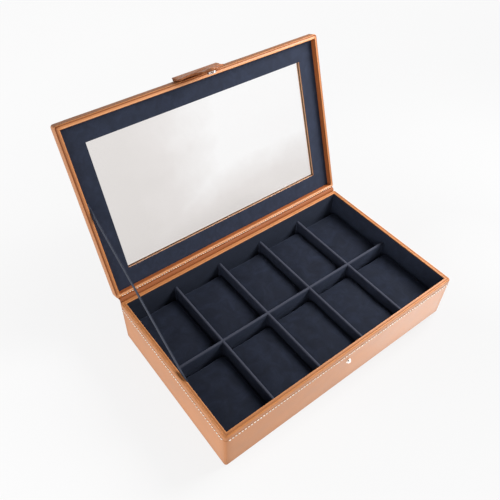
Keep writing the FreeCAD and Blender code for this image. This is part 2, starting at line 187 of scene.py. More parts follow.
# Floor: its glow by distance from two points, for the camera, for soft bounce and for gloss
BRIGHT_AT = (0.26, -0.08, 0.0)
BOUNCE_AT = (0.18, -0.17, 0.0)
EVEN_PEAK = 1.5
GLOSS_PEAK = 3.8
GLOW_SHARE = 0.88
FLOOR_EVEN = [(r, (e / EVEN_PEAK,) * 3) for r, e in (
    (0.0, 0.862), (0.1, 0.850), (0.2, 0.89), (0.3, 0.928),
    (0.45, 0.965), (0.6, 1.0), (0.8, 1.028), (1.0, 1.036))]
FLOOR_BOUNCE = [(r, (e,) * 3) for r, e in (
    (0.0, 0.55), (0.1, 0.85), (0.2, 1.2), (0.35, 1.08), (0.6, 0.95), (1.0, 0.85))]
FLOOR_GLOSS = [(r, (e / GLOSS_PEAK,) * 3) for r, e in (
    (0.0, 3.3), (0.1, 2.8), (0.2, 1.6), (0.35, 0.9), (0.55, 0.8), (0.7, 0.8), (1.0, 0.8))]


# Mesh helpers

def add_mesh(name, points, faces, place=CLOSED, tones=None):
    """A mesh from points in millimetres on the closed box, moved to where it rests."""
    mesh = bpy.data.meshes.new(name)
    mesh.from_pydata([tuple(c * MM for c in p) for p in points], [], faces)
    mesh.transform(place)
    bm = bmesh.new()
    bm.from_mesh(mesh)
    bmesh.ops.recalc_face_normals(bm, faces=bm.faces)
    bm.to_mesh(mesh)
    bm.free()
    mesh.shade_smooth()
    if tones:
        mesh.attributes.new("tone", "FLOAT", "POINT").data.foreach_set("value", tones)
    obj = bpy.data.objects.new(name, mesh)
    bpy.context.scene.collection.objects.link(obj)
    return obj


def band_faces(rows, count, first=0):
    """Quads between rows of points that each close on themselves."""
    faces = []
    for row in range(rows - 1):
        start = first + row * count
        for i in range(count):
            j = (i + 1) % count
            faces.append((start + i, start + j, start + count + j, start + count + i))
    return faces


def capped_faces(rows, count):
    """The same, with the first and the last row closed by a face."""
    last = (rows - 1) * count
    return band_faces(rows, count) + [tuple(range(count)), tuple(range(last, last + count))]


def subdivide(obj):
    """Rounds the mesh by one level of subdivision and keeps the result as its own mesh."""
    modifier = obj.modifiers.new("round", "SUBSURF")
    modifier.levels = 1
    modifier.render_levels = 1
    depsgraph = bpy.context.evaluated_depsgraph_get()
    mesh = bpy.data.meshes.new_from_object(obj.evaluated_get(depsgraph))
    obj.modifiers.clear()
    old = obj.data
    obj.data = mesh
    bpy.data.meshes.remove(old)


def arc(centre, radius, start, end, steps):
    """Points on an arc in the profile's plane, angles in degrees."""
    points = []
    for i in range(steps + 1):
        angle = math.radians(start + (end - start) * i / steps)
        points.append((centre[0] + radius * math.cos(angle), centre[1] + radius * math.sin(angle)))
    return points


def ring(half_x, half_y, corner, side_x, side_y, bend):
    """Points round a rounded rectangle, the same number whatever its size."""
    points = []
    corner = max(corner, 0.05)
    for sx, sy, start in ((1, -1, -90), (1, 1, 0), (-1, 1, 90), (-1, -1, 180)):
        centre = (sx * (half_x - corner), sy * (half_y - corner))
        for i in range(bend + 1):
            angle = math.radians(start + 90.0 * i / bend)
            points.append((centre[0] + corner * math.cos(angle),
                           centre[1] + corner * math.sin(angle)))
        along_y = start in (-90, 90)
        count = side_y if along_y else side_x
        reach = (half_y if along_y else half_x) - corner
        last = points[-1]
        for i in range(1, count):
            step = 2.0 * reach * i / count
            if along_y:
                points.append((last[0], last[1] + (step if sy < 0 else -step)))
            else:
                points.append((last[0] - (step if sy > 0 else -step), last[1]))
    return points


def swept(name, profile, half_x, half_y, corner, sides, wobble, shade, place=CLOSED):
    """A profile of (distance in from the outer face, height, tone) carried round a rectangle.

    Tone is 0 on plain leather, up to 1 for a painted highlight on an edge, down to -1 for painted shade in a
    crease.
    """
    points = []
    tones = []
    for inset, z, tone in profile:
        for x, y in ring(half_x - inset, half_y - inset, corner - inset, *sides):
            points.append(wobble(x, y, z, inset))
            tones.append(shade(x, y, z, tone))
    faces = band_faces(len(profile), len(points) // len(profile))
    return add_mesh(name, points, faces, place, tones)


def rough(x, y, z, scale, depth, seed=0.0):
    """Smooth unevenness of a surface, in millimetres."""
    return depth * noise.noise(Vector((x * scale + seed, y * scale - seed, z * scale)))


def turned(name, profile, steps, at, place=CLOSED):
    """A lathe piece about a line along Y; the profile holds (radius, distance to the front)."""
    points = []
    for radius, reach in profile:
        for i in range(steps):
            angle = 2.0 * math.pi * i / steps
            points.append((at[0] + radius * math.cos(angle), at[1] - reach,
                           at[2] + radius * math.sin(angle)))
    return add_mesh(name, points, capped_faces(len(profile), steps), place)


# Material helpers

def new_material(name):
    """An empty node material with its shader and its object coordinates."""
    material = bpy.data.materials.new(name)
    material.use_nodes = True
    tree = material.node_tree
    shader = tree.nodes["Principled BSDF"]
    coords = tree.nodes.new("ShaderNodeTexCoord")
    return material, tree, shader, coords.outputs["Object"]


def noise_node(tree, coords, scale, detail=3.0, rough_share=0.55, distortion=0.0):
    """A noise texture's value."""
    node = tree.nodes.new("ShaderNodeTexNoise")
    node.inputs["Scale"].default_value = scale
    node.inputs["Detail"].default_value = detail
    node.inputs["Roughness"].default_value = rough_share
    node.inputs["Distortion"].default_value = distortion
    tree.links.new(coords, node.inputs["Vector"])
    return node.outputs["Fac"]


def ramp(tree, value, stops):
    """A colour ramp of (position, colour) stops."""
    node = tree.nodes.new("ShaderNodeValToRGB")
    elements = node.color_ramp.elements
    while len(elements) < len(stops):
        elements.new(0.5)
    for element, (position, colour) in zip(elements, stops):
        element.position = position
        element.color = (*colour, 1.0)
    tree.links.new(value, node.inputs["Fac"])
    return node.outputs["Color"]


def to_range(tree, value, low, high):
    """Maps a 0 to 1 value to another range."""
    node = tree.nodes.new("ShaderNodeMapRange")
    node.inputs["To Min"].default_value = low
    node.inputs["To Max"].default_value = high
    tree.links.new(value, node.inputs["Value"])
    return node.outputs["Result"]


def maths(tree, operation, first, second):
    """One maths node; the second input may be a number."""
    node = tree.nodes.new("ShaderNodeMath")
    node.operation = operation
    tree.links.new(first, node.inputs[0])
    if isinstance(second, (int, float)):
        node.inputs[1].default_value = second
    else:
        tree.links.new(second, node.inputs[1])
    return node.outputs["Value"]


def distance(tree, coords, centre):
    """How far the shaded point is from a centre."""
    node = tree.nodes.new("ShaderNodeVectorMath")
    node.operation = "DISTANCE"
    node.inputs[1].default_value = centre
    tree.links.new(coords, node.inputs[0])
    return node.outputs["Value"]


def bump(tree, height, shader, strength, depth):
    """Raises the surface's normals by a height value."""
    node = tree.nodes.new("ShaderNodeBump")
    node.inputs["Strength"].default_value = strength
    node.inputs["Distance"].default_value = depth
    tree.links.new(height, node.inputs["Height"])
    tree.links.new(node.outputs["Normal"], shader.inputs["Normal"])


def blended(tree, share, first, colour):
    """Mixes a plain colour over another colour; a share below 0 counts as 0.

    Sockets 6 and 7 are the two colours of a colour mix.
    """
    node = tree.nodes.new("ShaderNodeMix")
    node.data_type = "RGBA"
    tree.links.new(share, node.inputs[0])
    tree.links.new(first, node.inputs[6])
    node.inputs[7].default_value = (*colour, 1.0)
    return node.outputs[2]


def scaled(colour, factor):
    """A colour made lighter or darker."""
    return tuple(min(1.0, c * factor) for c in colour)


def leather(name, colour, roughness=0.42, grain=1500.0, depth=0.00006):
    """Grained leather: pebbles with fine creases, cloudy dye and uneven gloss, with painted highlights and painted
    shade from the mesh's tone.
    """
    material, tree, shader, coords = new_material(name)
    cells = tree.nodes.new("ShaderNodeTexVoronoi")
    cells.feature = "SMOOTH_F1"
    cells.inputs["Scale"].default_value = grain
    cells.inputs["Smoothness"].default_value = 0.6
    tree.links.new(coords, cells.inputs["Vector"])
    cloud = noise_node(tree, coords, 28.0, 4.0, 0.6, 0.4)
    pores = noise_node(tree, coords, grain * 0.8, 2.0, 0.6)
    dye = maths(tree, "ADD", maths(tree, "MULTIPLY", cloud, 0.65), maths(tree, "MULTIPLY", pores, 0.35))
    even = ramp(tree, dye, ((0.25, scaled(colour, 0.82)), (0.5, colour), (0.75, scaled(colour, 1.12))))
    # Painted highlight and painted shade: the mesh's tone, varied by the cloud, mixes in the pale or the deep
    # colour
    tone = tree.nodes.new("ShaderNodeAttribute")
    tone.attribute_name = "tone"
    painted_light = maths(tree, "MULTIPLY", tone.outputs["Fac"], to_range(tree, cloud, 0.6, 1.4))
    pale = blended(tree, painted_light, even, LEATHER_HIGHLIGHT)
    dark = blended(tree, maths(tree, "MULTIPLY", painted_light, -1.0), pale, LEATHER_SHADE)
    tree.links.new(dark, shader.inputs["Base Color"])
    dull = maths(tree, "MAXIMUM", maths(tree, "MULTIPLY", tone.outputs["Fac"], -0.5), 0.0)
    tree.links.new(maths(tree, "ADD", to_range(tree, cloud, roughness - 0.06, roughness + 0.07), dull),
                   shader.inputs["Roughness"])
    height = maths(tree, "ADD", maths(tree, "MULTIPLY", cells.outputs["Distance"], 0.7), pores)
    bump(tree, height, shader, 0.5, depth)
    shader.inputs["Specular IOR Level"].default_value = 0.42
    shader.inputs["Coat Weight"].default_value = 0.10
    shader.inputs["Coat Roughness"].default_value = 0.35
    return material


def suede(name, colour, patch=110.0, contrast=0.35, sheen=0.5, painted_light=None):
    """Short-nap suede: brushed patches, fine fibre speckle, a soft sheen, and, where a top colour is given, a
    painted highlight on faces that look up.
    """
    material, tree, shader, coords = new_material(name)
    patches = noise_node(tree, coords, patch, 5.0, 0.62, 0.8)
    fibre = noise_node(tree, coords, 2300.0, 2.0, 0.7)
    tone = maths(tree, "ADD", maths(tree, "MULTIPLY", patches, 0.7),
                 maths(tree, "MULTIPLY", fibre, 0.3))
    dyed = ramp(tree, tone, ((0.30, scaled(colour, 1.0 - contrast)), (0.5, colour),
                             (0.72, scaled(colour, 1.0 + 1.6 * contrast))))
    # Painted highlight: the top colour is mixed in where the surface faces up
    if painted_light:
        facing = tree.nodes.new("ShaderNodeSeparateXYZ")
        tree.links.new(coords.node.outputs["Normal"], facing.inputs["Vector"])
        dyed = blended(tree, maths(tree, "POWER", maths(tree, "MAXIMUM", facing.outputs["Z"], 0.0), 1.6),
                       dyed, painted_light)
    tree.links.new(dyed, shader.inputs["Base Color"])
    tree.links.new(to_range(tree, patches, 0.82, 0.96), shader.inputs["Roughness"])
    bump(tree, maths(tree, "ADD", fibre, maths(tree, "MULTIPLY", patches, 0.4)), shader, 0.5, 0.00015)
    shader.inputs["Specular IOR Level"].default_value = 0.2
    shader.inputs["Sheen Weight"].default_value = sheen
    shader.inputs["Sheen Roughness"].default_value = 0.45
    shader.inputs["Sheen Tint"].default_value = (0.45, 0.55, 0.85, 1.0)
    return material


def woven(name, colour):
    """Fine ribbed ribbon."""
    material, tree, shader, coords = new_material(name)
    wave = tree.nodes.new("ShaderNodeTexWave")
    wave.inputs["Scale"].default_value = 900.0
    wave.inputs["Distortion"].default_value = 1.5
    tree.links.new(coords, wave.inputs["Vector"])
    cloud = noise_node(tree, coords, 160.0)
    tone = maths(tree, "ADD", maths(tree, "MULTIPLY", wave.outputs["Fac"], 0.5),
                 maths(tree, "MULTIPLY", cloud, 0.5))
    tree.links.new(ramp(tree, tone, ((0.2, scaled(colour, 0.75)), (0.8, scaled(colour, 1.25)))),
                   shader.inputs["Base Color"])
    tree.links.new(to_range(tree, cloud, 0.75, 0.9), shader.inputs["Roughness"])
    bump(tree, wave.outputs["Fac"], shader, 0.4, 0.0001)
    shader.inputs["Specular IOR Level"].default_value = 0.08
    shader.inputs["Sheen Weight"].default_value = 0.03
    return material


def metal(name, colour, roughness):
    """Polished metal with faint wear."""
    material, tree, shader, coords = new_material(name)
    wear = noise_node(tree, coords, 700.0, 4.0)
    tree.links.new(ramp(tree, wear, ((0.3, scaled(colour, 0.92)), (0.7, colour))),
                   shader.inputs["Base Color"])
    tree.links.new(to_range(tree, wear, roughness, roughness + 0.1), shader.inputs["Roughness"])
    shader.inputs["Metallic"].default_value = 1.0
    return material


def thread(name, colour):
    """Waxed thread with a twist."""
    material, tree, shader, coords = new_material(name)
    twist = tree.nodes.new("ShaderNodeTexWave")
    twist.bands_direction = "DIAGONAL"
    twist.inputs["Scale"].default_value = 1200.0
    tree.links.new(coords, twist.inputs["Vector"])
    tree.links.new(ramp(tree, twist.outputs["Fac"], ((0.0, scaled(colour, 0.8)), (1.0, colour))),
                   shader.inputs["Base Color"])
    shader.inputs["Roughness"].default_value = 0.6
    bump(tree, twist.outputs["Fac"], shader, 0.4, 0.0001)
    return material


def board(name, colour):
    """Plain fibreboard."""
    material, tree, shader, coords = new_material(name)
    fibre = noise_node(tree, coords, 400.0, 5.0)
    tree.links.new(ramp(tree, fibre, ((0.3, scaled(colour, 0.8)), (0.7, colour))),
                   shader.inputs["Base Color"])
    shader.inputs["Roughness"].default_value = 0.85
    bump(tree, fibre, shader, 0.3, 0.0001)
    return material


def window_glass(name):
    """Clear glass: a faint warm painted shade on the left and low down, a painted highlight along its edge, and
    gloss.
    """
    material = bpy.data.materials.new(name)
    material.use_nodes = True
    tree = material.node_tree
    tree.nodes.remove(tree.nodes["Principled BSDF"])
    output = tree.nodes["Material Output"]
    coords = tree.nodes.new("ShaderNodeTexCoord")
    uneven_shade = noise_node(tree, coords.outputs["Object"], 25.0, 3.0)
    place = tree.nodes.new("ShaderNodeSeparateXYZ")
    tree.links.new(coords.outputs["Object"], place.inputs["Vector"])
    # Painted shade on the left and low down, unevenly edged, and a painted highlight along the pane's edge, set in
    # the tint of what shows through
    across = maths(tree, "MULTIPLY", maths(tree, "ADD", place.outputs["X"], GLASS_SHADE_X),
                   1.0 / GLASS_CLEARS_X)
    up = maths(tree, "MULTIPLY", maths(tree, "SUBTRACT", place.outputs["Z"], GLASS_SHADE_Z),
               1.0 / GLASS_CLEARS_Z)
    unshaded = maths(tree, "MINIMUM", across, up)
    unshaded = maths(tree, "ADD", unshaded, maths(tree, "MULTIPLY", maths(tree, "SUBTRACT", uneven_shade, 0.5), 0.6))
    half_x = (LID_HALF_X - LID_RIM - BORDER) * MM
    half_y = (LID_HALF_Y - LID_RIM - BORDER) * MM
    pane = (LID_Z + GLASS_TOP - GLASS_THICK) * MM
    low = (OPEN @ Vector((0.0, half_y, pane))).z
    high = (OPEN @ Vector((0.0, -half_y, pane))).z
    side = maths(tree, "SUBTRACT", maths(tree, "ABSOLUTE", place.outputs["X"], 0.0), half_x - GLASS_EDGE_HIGHLIGHT)
    tall = maths(tree, "ABSOLUTE", maths(tree, "SUBTRACT", place.outputs["Z"], (low + high) / 2.0), 0.0)
    end = maths(tree, "SUBTRACT", tall, (high - low) / 2.0 - GLASS_EDGE_HIGHLIGHT)
    edge_highlight = maths(tree, "MULTIPLY", maths(tree, "MAXIMUM", side, end), 3.0 / GLASS_EDGE_HIGHLIGHT)
    unshaded = maths(tree, "MAXIMUM", unshaded, edge_highlight)
    clear = tree.nodes.new("ShaderNodeBsdfTransparent")
    tree.links.new(ramp(tree, unshaded, ((0.0, (0.895, 0.877, 0.866)), (0.35, (0.918, 0.90, 0.892)),
                                      (1.0, (1.0, 0.998, 0.998)))), clear.inputs["Color"])
    gloss = tree.nodes.new("ShaderNodeBsdfGlossy")
    gloss.inputs["Roughness"].default_value = 0.16
    fresnel = tree.nodes.new("ShaderNodeFresnel")
    fresnel.inputs["IOR"].default_value = 1.3
    mix = tree.nodes.new("ShaderNodeMixShader")
    tree.links.new(fresnel.outputs["Fac"], mix.inputs["Fac"])
    tree.links.new(clear.outputs["BSDF"], mix.inputs[1])
    tree.links.new(gloss.outputs["BSDF"], mix.inputs[2])
    tree.links.new(mix.outputs["Shader"], output.inputs["Surface"])
    return material


MATERIALS = {
    "tan_leather": leather("tan_leather", TAN),
    "hinge_leather": leather("hinge_leather", TAN_DARK),
    "inner_leather": leather("inner_leather", TAN_INNER_SHADED, 0.5),
    "slip_leather": leather("slip_leather", TAN_SLIP_LIT, 0.4),
    "tab_leather": leather("tab_leather", TAN_TAB, 0.45, 1100.0, 0.0001),
    "navy_suede": suede("navy_suede", NAVY),
    "divider_suede": suede("divider_suede", NAVY_LIGHT, 90.0, 0.35, 0.15, NAVY_TOP_HIGHLIGHT),
    "cushion_suede": suede("cushion_suede", scaled(NAVY, CUSHION_SHADE), 70.0, 0.4, 0.1),
    "ribbon": woven("ribbon", RIBBON_BLUE),
    "shaded_suede": suede("shaded_suede", scaled(NAVY, BACK_SHADE), 110.0, 0.35, 0.2),
    "underside_suede": suede("underside_suede", NAVY),
    "board": board("board", BOARD_BROWN),
    "clear_glass": window_glass("clear_glass"),
    "nickel": metal("nickel", NICKEL, 0.12),
}
THREAD_MATERIAL = thread("cream_thread", THREAD)


def dress(obj, slot, material=None):
    """Gives a piece a material: the one given, or else the slot's."""
    obj.data.materials.clear()
    obj.data.materials.append(material or MATERIALS[slot])


def dress_cad_nodes():
    """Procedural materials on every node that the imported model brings."""
    for entry in frame["record"]["subparts"]:
        node = frame["nodes"][entry["node"]]
        node.data.materials.clear()
        node.data.materials.append(MATERIALS[entry["material_slot"]])
    # Painted light: the window's slip frame takes the paler copy of the tan
    frame["nodes"]["window_slip_frame"].data.materials[0] = MATERIALS["slip_leather"]
    frame["nodes"]["lining_back"].data.materials[0] = MATERIALS["shaded_suede"]


# Base pieces

def base_leather():
    """The side leather with its padded rim, crease and rounded foot."""
    top = HEIGHT
    # The third number is the tone: a painted highlight on the rim's inner edge, painted shade inside the rim, on
    # the shoulder, in the crease and stitch channel, and under the foot
    profile = [(WALL - 0.6, top - 1.6, -0.6), (WALL, top - 1.3, -0.6), (WALL, top - 0.8, -0.3),
               (WALL - 0.06, top - 0.45, 0.0), (WALL - 0.25, top - 0.2, 0.15),
               (WALL - 0.6, top - 0.1, 0.1), (WALL - 1.1, top - 0.14, -0.15),
               (WALL - 1.8, top - 0.34, -0.4), (WALL - 2.5, top - 0.36, -0.4),
               (WALL - 3.0, top - 0.16, -0.2), (WALL - 3.4, top - 0.02, -0.1)]
    shoulder = arc((1.7, top - 1.75), 1.7, 90, 180, 7)
    shoulder_tones = (-0.1, -0.05, 0.0, 0.0, 0.0, -0.05, -0.1, -0.15)
    profile += [(x, z, tone) for (x, z), tone in zip(shoulder, shoulder_tones)]
    crease = top - 6.2
    profile += [(0.0, top - 3.4, -0.15), (0.0, crease + 0.6, -0.15), (0.10, crease + 0.2, -0.3),
                (0.32, crease - 0.1, -0.35), (0.32, crease - 0.35, -0.35),
                (0.10, crease - 0.7, -0.3), (0.0, crease - 1.1, 0.0)]
    stitch = top - STITCH_DROP
    profile += [(0.10, stitch + 0.1, -0.25), (0.16, stitch, -0.3), (0.10, stitch - 0.3, -0.25),
                (0.0, stitch - 0.8, 0.1)]
    low = stitch - 2.0
    steps = 12
    profile += [(0.0, low - (low - 2.0) * i / steps, 0.0) for i in range(steps + 1)]
    profile += [(0.08, 1.2, 0.1), (0.35, 0.75, -0.3), (0.9, 0.52, -0.8), (4.0, 0.5, -0.8), (9.0, 0.5, -0.8)]

    def wobble(x, y, z, inset):
        depth = 0.0
        if inset < 1.0 and z < top - 3.0:
            depth = rough(x, y, z, 0.045, 0.22) + rough(x, y, z, 0.16, 0.08, 4.0)
            fade = min(1.0, (z - 0.5) / 4.0)
            depth *= max(0.0, fade)
        away = math.hypot(x, z - SNAP_Z)
        if y < 0 and inset < 1.0:
            depth = min(depth, 0.4 * min(1.0, max(0.0, away - 7.0) / 8.0))
        lift = rough(x, y, 0.0, 0.05, 0.12, 9.0) if z > top - 1.0 else 0.0
        if abs(x) / HALF_X > abs(y) / HALF_Y:
            return (x + math.copysign(min(depth, 0.3), x), y, z + min(lift, 0.0))
        return (x, y + math.copysign(min(depth, 0.4), y), z + min(lift, 0.0))

    # Painted light by place: painted shade on the back rim under the hinge's fold, round the vertical corners and
    # towards the foot, and a painted highlight on the left rim's shoulder
    def shade(x, y, z, tone):
        if y > HALF_Y - 3.3 and z > top - 4.0:
            return BACK_RIM_SHADE
        corner = max(0.0, 1.0 - math.hypot(HALF_X - abs(x), HALF_Y - abs(y)) / 9.0)
        foot = max(0.0, 1.0 - z / 16.0)
        edge = 0.1 if x < 3.0 - HALF_X and z > top - 6.0 else 0.0
        return tone + edge - 0.22 * corner - 0.22 * foot * foot

    obj = swept("base_leather", profile, HALF_X, HALF_Y, BASE_CORNER + 0.5, SIDES, wobble, shade)
    dress(obj, "tan_leather")
    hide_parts("base_leather_wrap")
    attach(obj, "base")


def stitch_shape(points, faces, at, along, out, length, width, height):
    """One stitch: a short rounded thread lying on the leather, sunk at both ends."""
    side = along.cross(out)
    first = len(points)
    stations = ((-0.5, -0.55, 0.45), (-0.40, 0.25, 0.85), (-0.18, 0.85, 1.0),
                (0.18, 0.85, 1.0), (0.40, 0.25, 0.85), (0.5, -0.55, 0.45))
    around = 6
    for share, rise, girth in stations:
        centre = at + along * (share * length) + out * (height * (rise - 0.35))
        for i in range(around):
            angle = 2.0 * math.pi * i / around
            points.append(tuple(centre + side * (0.5 * width * girth * math.cos(angle))
                                + out * (0.5 * height * girth * math.sin(angle))))
    faces.extend(band_faces(len(stations), around, first))


def stitch_row(points, faces, start, end, out, pitch, length, seed, width=STITCH_WIDTH,
               height=STITCH_HEIGHT):
    """A straight row of stitches from start to end, each a little off the line."""
    chance = random.Random(seed)
    run = end - start
    along = run.normalized()
    count = max(2, int(run.length / pitch))
    for i in range(count):
        at = start + run * ((i + 0.5) / count)
        tilt = along.cross(out) * (chance.uniform(-0.05, 0.05) + 0.07)
        at = at + along.cross(out) * chance.uniform(-0.06, 0.06)
        stitch_shape(points, faces, at, (along + tilt).normalized(), out,
                     length * chance.uniform(0.94, 1.04), width, height)


def base_stitching():
    """Cream stitches round the four sides, below the rim's crease."""
    points = []
    faces = []
    z = HEIGHT - STITCH_DROP
    x = HALF_X - BASE_CORNER - 1.0
    y = HALF_Y - BASE_CORNER - 1.0
    skin = 0.1
    rows = (((-x, -HALF_Y + skin), (x, -HALF_Y + skin), (0, -1)),
            ((HALF_X - skin, -y), (HALF_X - skin, y), (1, 0)),
            ((x, HALF_Y - skin), (-x, HALF_Y - skin), (0, 1)),
            ((-HALF_X + skin, y), (-HALF_X + skin, -y), (-1, 0)))
    for seed, (start, end, out) in enumerate(rows):
        stitch_row(points, faces, Vector((*start, z)), Vector((*end, z)), Vector((*out, 0)),
                   STITCH_PITCH, STITCH_LENGTH, seed)
    obj = add_mesh("base_stitching", points, faces)
    dress(obj, "tan_leather", THREAD_MATERIAL)
    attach(obj, "base")


def stud():
    """Polished ball stud with its collar."""
    profile = [(1.7, -0.8), (3.0, -0.3), (3.1, 0.15), (2.6, 0.38), (1.55, 0.42), (1.45, 0.6)]
    profile += [(2.3 * math.cos(math.radians(a)), 1.17 + 1.13 * math.sin(math.radians(a)))
                for a in range(-40, 90, 13)]
    profile += [(0.15, STUD_REACH)]
    obj = turned("snap_ball_stud", profile, 32, (0.0, -HALF_Y, SNAP_Z))
    dress(obj, "nickel")
    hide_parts("snap_stud")
    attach(obj, "base")


# Lid pieces

def lid_leather():
    """The lid's leather, from the recess over the rim and the top into the window."""
    z0 = LID_Z
    window = LID_RIM + BORDER
    # The third number is the tone: painted shade in the recess and the groove behind the rim, painted highlights
    # on the rim's inner edge, the rounded top edge and the window's reveal
    profile = [(LID_RIM + 0.5, z0 + 1.2, -0.8), (LID_RIM, z0 + 1.0, -0.8), (LID_RIM, z0 + 0.5, -0.4),
               (LID_RIM - 0.12, z0 + 0.2, 0.3), (LID_RIM - 0.4, z0 + 0.04, 0.4),
               (LID_RIM - 0.9, z0 + 0.02, 0.2), (2.6, z0 + 0.12, 0.0), (2.0, z0 + 0.28, -0.1),
               (1.5, z0 + 0.5, -0.5), (1.2, z0 + 0.75, -1.0), (1.0, z0 + 0.95, -1.0),
               (0.75, z0 + 1.1, -0.8), (0.5, z0 + 1.15, -0.2), (0.25, z0 + 1.4, 0.1),
               (0.06, z0 + 1.8, 0.0), (0.0, z0 + 2.4, -0.1)]
    rise = LID_HEIGHT - 3.0
    profile += [(0.0, z0 + 2.4 + (rise - 2.4) * i / 4, -0.1) for i in range(1, 5)]
    profile += [(x, z, 0.15) for x, z in arc((3.0, z0 + rise), 3.0, 180, 90, 8)[1:]]
    steps = 8
    profile += [(3.0 + (window - 4.2) * i / steps, z0 + LID_HEIGHT, 0.0) for i in range(1, steps + 1)]
    profile += [(window - 0.6, z0 + LID_HEIGHT - 0.15, 0.3), (window - 0.15, z0 + LID_HEIGHT - 0.5, 0.6),
                (window, z0 + LID_HEIGHT - 1.0, 0.6), (window, z0 + GLASS_TOP + 0.02, 0.6)]

    def wobble(x, y, z, inset):
        if z > z0 + 3.0 and z < z0 + LID_HEIGHT - 2.0:
            depth = min(rough(x, y, z, 0.06, 0.2), 0.0)
            if abs(x) / LID_HALF_X > abs(y) / LID_HALF_Y:
                return (x + math.copysign(depth, x), y, z)
            return (x, y + math.copysign(depth, y), z)
        if z > z0 + LID_HEIGHT - 0.1:
            return (x, y, z + min(rough(x, y, z, 0.05, 0.2), 0.0))
        return (x, y, z)

    # Painted light by place: a painted highlight on the back rim, painted shade on the left and right rims, and
    # the front wall darker
    def shade(x, y, z, tone):
        if z < z0 + 1.3 and y > LID_HALF_Y - LID_RIM - 0.3:
            return max(tone, -0.2) + 0.1
        if z < z0 + 1.3 and x < LID_RIM - LID_HALF_X:
            return tone + LEFT_RIM_SHADE
        if z < z0 + 1.3 and x > LID_HALF_X - LID_RIM - 0.3:
            return tone + RIGHT_RIM_SHADE
        return tone - 0.35 if y < 1.0 - LID_HALF_Y and z > z0 + 2.0 else tone

    obj = swept("lid_leather", profile, LID_HALF_X, LID_HALF_Y, LID_CORNER, SIDES, wobble, shade, OPEN)
    dress(obj, "tan_leather")
    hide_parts("lid_leather_wrap")
    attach(obj, "lid")


def lid_stitching():
    """Stitches on the lid's rim, near its back edge."""
    points = []
    faces = []
    x = LID_HALF_X - LID_CORNER - 2.0
    y = LID_HALF_Y - 2.0
    skin = 0.05
    z = LID_Z + 0.25 + skin
    stitch_row(points, faces, Vector((-x, y, z)), Vector((x, y, z)), Vector((0, 0, -1)),
               LID_STITCH_PITCH, LID_STITCH_LENGTH, 21, LID_STITCH_WIDTH, LID_STITCH_HEIGHT)
    obj = add_mesh("lid_stitching", points, faces, OPEN)
    dress(obj, "tan_leather", THREAD_MATERIAL)
    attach(obj, "lid")


def hinge_strip():
    """The flexible leather strip behind the box, bending between base and lid."""
    half = 154.0
    base_face = HALF_Y + 0.05
    lid_face = LID_HALF_Y + 0.05
    thick = 1.15

    def opened(y, z):
        p = OPEN @ Vector((0, y * MM, z * MM))
        return p.y / MM, p.z / MM

    inner = [(base_face, 40.0), (base_face, 46.0), (base_face, 52.0), (base_face, HEIGHT - 1.4),
             (base_face + 0.25, HEIGHT + 0.6), (95.0, HEIGHT + 1.9)]
    inner += [opened(lid_face, LID_Z + v) for v in (0.4, 2.0, 5.0, 8.0, 12.4)]
    outer = [(base_face + thick, 40.0), (base_face + thick, 46.0), (base_face + thick, 52.0),
             (base_face + thick, HEIGHT - 1.6), (base_face + thick + 0.1, HEIGHT + 0.2),
             (base_face + thick + 0.4, HEIGHT + 1.2)]
    outer += [opened(lid_face + thick, LID_Z + v) for v in (1.6, 2.6, 5.2, 8.0, 12.4)]
    loop = inner + outer[::-1]
    stations = 120
    # Painted shade: the points of the bend's valley between base and lid are darker
    fold = range(3, 8)
    points = []
    tones = []
    for s in range(stations + 1):
        x = -half + 2.0 * half * s / stations
        for i, (y, z) in enumerate(loop):
            points.append((x, y, z + rough(x, y, z, 0.08, 0.12, 3.0)))
            tones.append(-0.7 if i in fold else 0.0)
    faces = capped_faces(stations + 1, len(loop))
    obj = add_mesh("hinge_strip", points, faces, CLOSED, tones)
    dress(obj, "hinge_leather")
    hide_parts("hinge_leather")
    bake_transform(obj)


def stay_ribbon():
    """The taut ribbon as it hangs with the lid open; the real one folds inside the box as the lid closes."""
    low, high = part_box("lid_stay_ribbon")
    node = frame["nodes"]["lid_stay_ribbon"]
    by_y = sorted({(round(v.co.y / MM, 3), round(v.co.z / MM, 3)) for v in node.data.vertices})
    start_pair = sorted(by_y[:2], key=lambda p: p[1])
    end_pair = sorted(by_y[-2:], key=lambda p: p[1])
    x0 = low[0] / MM
    x1 = high[0] / MM
    stations = 90
    across = 6
    points = []
    for s in range(stations + 1):
        share = s / stations
        edge_a = [start_pair[0][k] * (1 - share) + end_pair[0][k] * share for k in range(2)]
        edge_b = [start_pair[1][k] * (1 - share) + end_pair[1][k] * share for k in range(2)]
        for side, x in ((0, x0), (1, x1)):
            for i in range(across + 1):
                t = i / across if side == 0 else 1.0 - i / across
                y = edge_a[0] * (1 - t) + edge_b[0] * t
                z = edge_a[1] * (1 - t) + edge_b[1] * t
                thin = 0.12 * (2.0 * t - 1.0) ** 6
                points.append((x + (thin if side == 0 else -thin), y, z))
    obj = add_mesh("stay_ribbon", points, capped_faces(stations + 1, 2 * (across + 1)))
    dress(obj, "ribbon")
    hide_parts("lid_stay_ribbon")
    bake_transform(obj)


# Dividers and cushions

